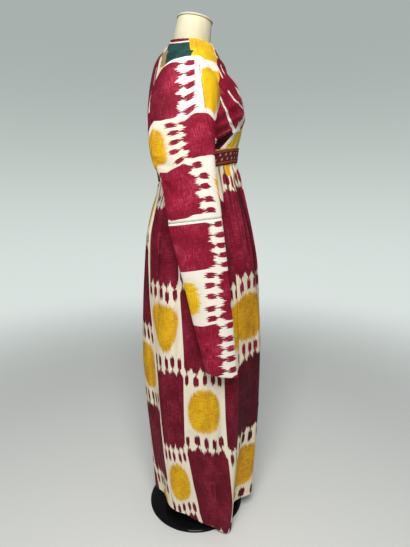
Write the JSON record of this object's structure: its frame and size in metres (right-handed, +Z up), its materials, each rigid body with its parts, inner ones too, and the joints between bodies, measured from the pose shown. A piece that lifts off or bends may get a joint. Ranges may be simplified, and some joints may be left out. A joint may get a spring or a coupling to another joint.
{
  "type": "uzbek ikat robe with woven waistband on a limbless dress form",
  "caption": "Long hollow ikat robe with crossed fronts, hanging sleeves and a gathered, banded waist, standing on a limbless dress form with a domed base.",
  "frame": {"origin": "middle of the base's flat underside, on the floor", "axes": "+Z up, the robe's front faces -Y, and the wearer's right sleeve is at -X"},
  "size_m": [0.476, 0.3535, 1.4898],
  "materials": {
    "ikat_cloth": "crimson, yellow and cream ikat of silk and cotton, faint sheen",
    "woven_band": "narrow maroon woven band with small orange and cream motifs",
    "form_cloth": "smooth cream cover",
    "form_cap": "cream cap",
    "pole_steel": "satin",
    "base_gloss": "gloss black"
  },
  "bodies": {
    "root": {"skirt_front_right": "ikat_cloth", "skirt_front_left": "ikat_cloth", "skirt_side_right": "ikat_cloth", "skirt_side_left": "ikat_cloth", "skirt_back_right": "ikat_cloth", "skirt_back_left": "ikat_cloth", "bodice_front_right": "ikat_cloth", "bodice_front_left": "ikat_cloth", "bodice_back_right": "ikat_cloth", "bodice_back_left": "ikat_cloth", "sleeve_upper_right": "ikat_cloth", "sleeve_upper_left": "ikat_cloth", "sleeve_lower_right": "ikat_cloth", "sleeve_lower_left": "ikat_cloth", "waistband": "woven_band", "form_torso": "form_cloth", "form_neck": "form_cloth", "form_neck_cap": "form_cap", "form_pole": "pole_steel", "form_base": "base_gloss"}
  },
  "joints": []
}
